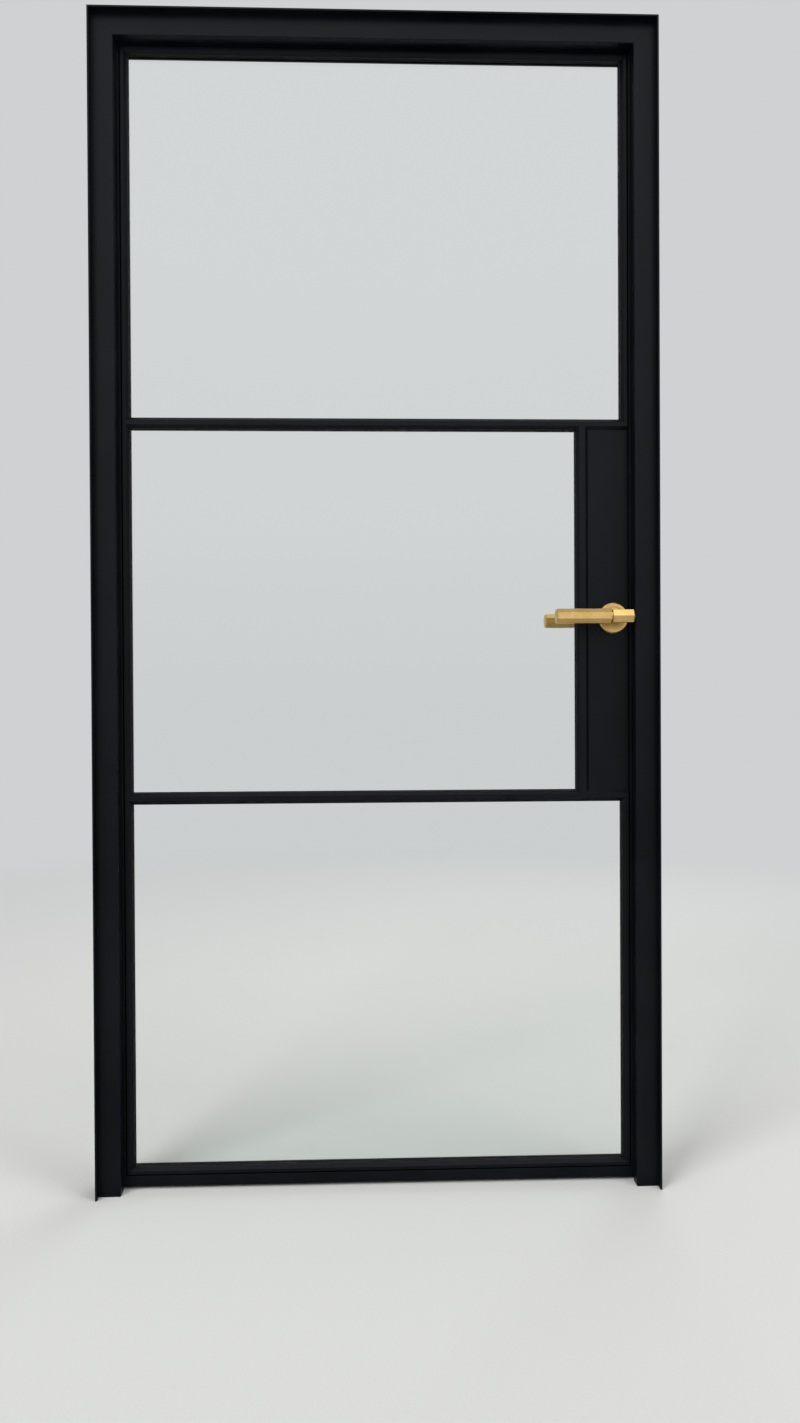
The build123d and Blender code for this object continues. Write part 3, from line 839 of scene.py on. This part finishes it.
@dataclass
class Door:
    """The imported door: which finish each of its nodes wears."""

    nodes: dict[str, bpy.types.Object]
    wardrobe: Wardrobe
    finishes: tuple[tuple[Finish, tuple[str, ...]], ...] = (
        (BRASS_BRUSHED, ("lever_bar", "lever_grip")),
        (BRASS_TURNED, ("lever_neck", "rose_front", "rose_rear")),
        (FLOAT_GLASS, ("glass",)),
        (SEAL_RUBBER, ("seal",)),
        (GLAZING_TAPE, ("tapes",)),
        (NYLON, ("setting_blocks", "hinge_washers")),
        (
            PLATED_STEEL,
            ("screws", "pins", "bolt", "rose_plate", "spindle", "follower", "lock_case", "faceplate",
             "strike_plate"),
        ),
        (
            POWDER_COAT,
            ("jamb", "head", "stile", "rail", "bar", "cap", "bead", "lock_panel", "leaves"),
        ),
    )

    def dress(self) -> None:
        """Gives every node the first finish that one of its words names."""
        for name, node in sorted(self.nodes.items()):
            self.wardrobe.dress(node, self.finish_of(name))

    def finish_of(self, name: str) -> Finish:
        """Finds a node's finish.

        Args:
            name: The node's name.

        Returns:
            The first finish with a word that the name holds.
        """
        for finish, words in self.finishes:
            if any(word in name for word in words):
                return finish
        raise KeyError(name)


@dataclass(frozen=True)
class Lamp:
    """A square soft lamp, aimed at the middle of the door: metres and watts."""

    name: str
    place: tuple[float, float, float]
    size: float
    power: float


@dataclass
class Studio:
    """A pale paper floor, soft lamps, an even backdrop and the camera."""

    wardrobe: Wardrobe
    floor_radius: float = 30.0
    floor_segments: int = 64
    even_light: str = "F4F5F6"
    even_strength: float = 0.4
    # Where the glow in the gloss lies, from where to where it swells, and how softly it rises
    glow_direction: tuple[float, float, float] = (0.0, -0.6, 0.8)
    glow_edge: float = 0.4
    glow_full: float = 0.85
    glow_light: float = 1.7
    glow_rise: float = 0.16
    aim: tuple[float, float, float] = (0.0, 0.0, 1.1)
    lamps: tuple[Lamp, ...] = (
        Lamp("key", (-2.8, -3.6, 3.2), 2.4, 120.0),
        Lamp("fill", (3.4, -2.6, 2.2), 2.4, 50.0),
        Lamp("overhead", (0.5, -0.2, 4.2), 2.6, 30.0),
        Lamp("rear", (1.6, 3.6, 3.0), 2.6, 80.0),
    )
    # The camera's place, turn and lens come from a fit to the straight edges of the door
    camera_place: tuple[float, float, float] = (-27.3 * MM, -1935.4 * MM, 868.3 * MM)
    camera_yaw: float = 0.0344
    camera_pitch: float = -0.008
    camera_roll: float = -0.005
    focal_pixels: float = 1069.0
    sensor_mm: float = 36.0

    def build(self) -> None:
        """Sets up the floor, the lamps, the backdrop and the camera."""
        self.lay_floor()
        for lamp in self.lamps:
            self.hang(lamp)
        self.light_backdrop()
        self.stand_camera()
        bpy.context.scene.view_settings.view_transform = "Standard"

    def lay_floor(self) -> None:
        """Lays a round sheet of paper under the door."""
        shape = bmesh.new()
        bmesh.ops.create_circle(
            shape, cap_ends=True, segments=self.floor_segments, radius=self.floor_radius
        )
        make_object("studio_floor", shape, self.wardrobe.get(PAPER))

    def hang(self, lamp: Lamp) -> None:
        """Hangs one lamp, which lights the door but shows neither through the glass nor in it.

        Args:
            lamp: The lamp.
        """
        light = bpy.data.lights.new(lamp.name, "AREA")
        light.size = lamp.size
        light.energy = lamp.power
        place = Vector(lamp.place)
        hung = bpy.data.objects.new(lamp.name, light)
        hung.location = place
        hung.rotation_euler = (Vector(self.aim) - place).to_track_quat("-Z", "Y").to_euler()
        hung.visible_transmission = False
        hung.visible_glossy = False
        bpy.context.scene.collection.objects.link(hung)

    def light_backdrop(self) -> None:
        """Gives the world an even light, and a pale backdrop where it is seen."""
        world = bpy.data.worlds.new("studio")
        world.use_nodes = True
        tree = world.node_tree
        tree.nodes.clear()
        light = add_node(
            tree,
            "ShaderNodeBackground",
            {"Color": linear(self.even_light), "Strength": self.even_strength},
        )
        seen = add_node(
            tree,
            "ShaderNodeBackground",
            {"Color": linear(BACKDROP)},
            {"Strength": self.glow_in_gloss(tree)},
        )
        both = add_node(tree, "ShaderNodeMixShader", links={"Fac": seen_directly(tree)})
        tree.links.new(light.outputs["Background"], both.inputs[1])
        tree.links.new(seen.outputs["Background"], both.inputs[2])
        add_node(tree, "ShaderNodeOutputWorld", links={"Surface": both.outputs["Shader"]})
        bpy.context.scene.world = world

    def glow_in_gloss(self, tree: bpy.types.NodeTree) -> bpy.types.NodeSocket:
        """Brightens the backdrop above and before the door, but only where gloss reflects it.

        The glow rises softly from the horizon, so that the panes reflect no line there. Rays that
        pass through glass count as glossy too, and are taken out again.

        Args:
            tree: The world's node tree.

        Returns:
            The backdrop's strength: one, and more in the glow.
        """
        direction = add_node(tree, "ShaderNodeTexCoord")
        towards = add_node(
            tree,
            "ShaderNodeVectorMath",
            {"operation": "DOT_PRODUCT"},
            {"Vector": direction.outputs["Generated"]},
        )
        towards.inputs[1].default_value = Vector(self.glow_direction).normalized()
        glow = add_node(
            tree,
            "ShaderNodeMapRange",
            {"From Min": self.glow_edge, "From Max": self.glow_full, "To Max": self.glow_light},
            {"Value": towards.outputs["Value"]},
        )
        height = add_node(
            tree, "ShaderNodeSeparateXYZ", links={"Vector": direction.outputs["Generated"]}
        )
        risen = add_node(
            tree,
            "ShaderNodeMapRange",
            {"From Max": self.glow_rise},
            {"Value": height.outputs["Z"], "To Max": glow.outputs["Result"]},
        )
        ray = add_node(tree, "ShaderNodeLightPath")
        only_gloss = add_node(tree, "ShaderNodeMath", {"operation": "SUBTRACT", "use_clamp": True})
        tree.links.new(ray.outputs["Is Glossy Ray"], only_gloss.inputs[0])
        tree.links.new(ray.outputs["Is Transmission Ray"], only_gloss.inputs[1])
        strength = add_node(tree, "ShaderNodeMath", {"operation": "MULTIPLY_ADD"})
        tree.links.new(risen.outputs["Result"], strength.inputs[0])
        tree.links.new(only_gloss.outputs["Value"], strength.inputs[1])
        strength.inputs[2].default_value = 1.0
        return strength.outputs["Value"]

    def stand_camera(self) -> None:
        """Stands the camera where the picture was taken from, just left of the middle."""
        lens = bpy.data.cameras.new("camera")
        lens.sensor_fit = "VERTICAL"
        lens.sensor_height = self.sensor_mm
        lens.lens = self.focal_pixels / PICTURE_HEIGHT * self.sensor_mm
        camera = bpy.data.objects.new("camera", lens)
        level = Euler((math.pi / 2 + self.camera_pitch, 0.0, -self.camera_yaw)).to_matrix().to_4x4()
        roll = Matrix.Rotation(self.camera_roll, 4, "Z")
        camera.matrix_world = Matrix.Translation(self.camera_place) @ level @ roll
        bpy.context.scene.collection.objects.link(camera)
        bpy.context.scene.camera = camera


def main() -> None:
    """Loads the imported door, dresses it, adds its small pieces and sets up the studio."""
    logging.basicConfig(level=logging.INFO, format="%(name)s: %(message)s")
    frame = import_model()
    wardrobe = Wardrobe()
    Door(frame["nodes"], wardrobe).dress()
    GlazingGaskets(wardrobe).build()
    SocketScrews(wardrobe).build()
    Studio(wardrobe).build()


if __name__ == "__main__":
    main()
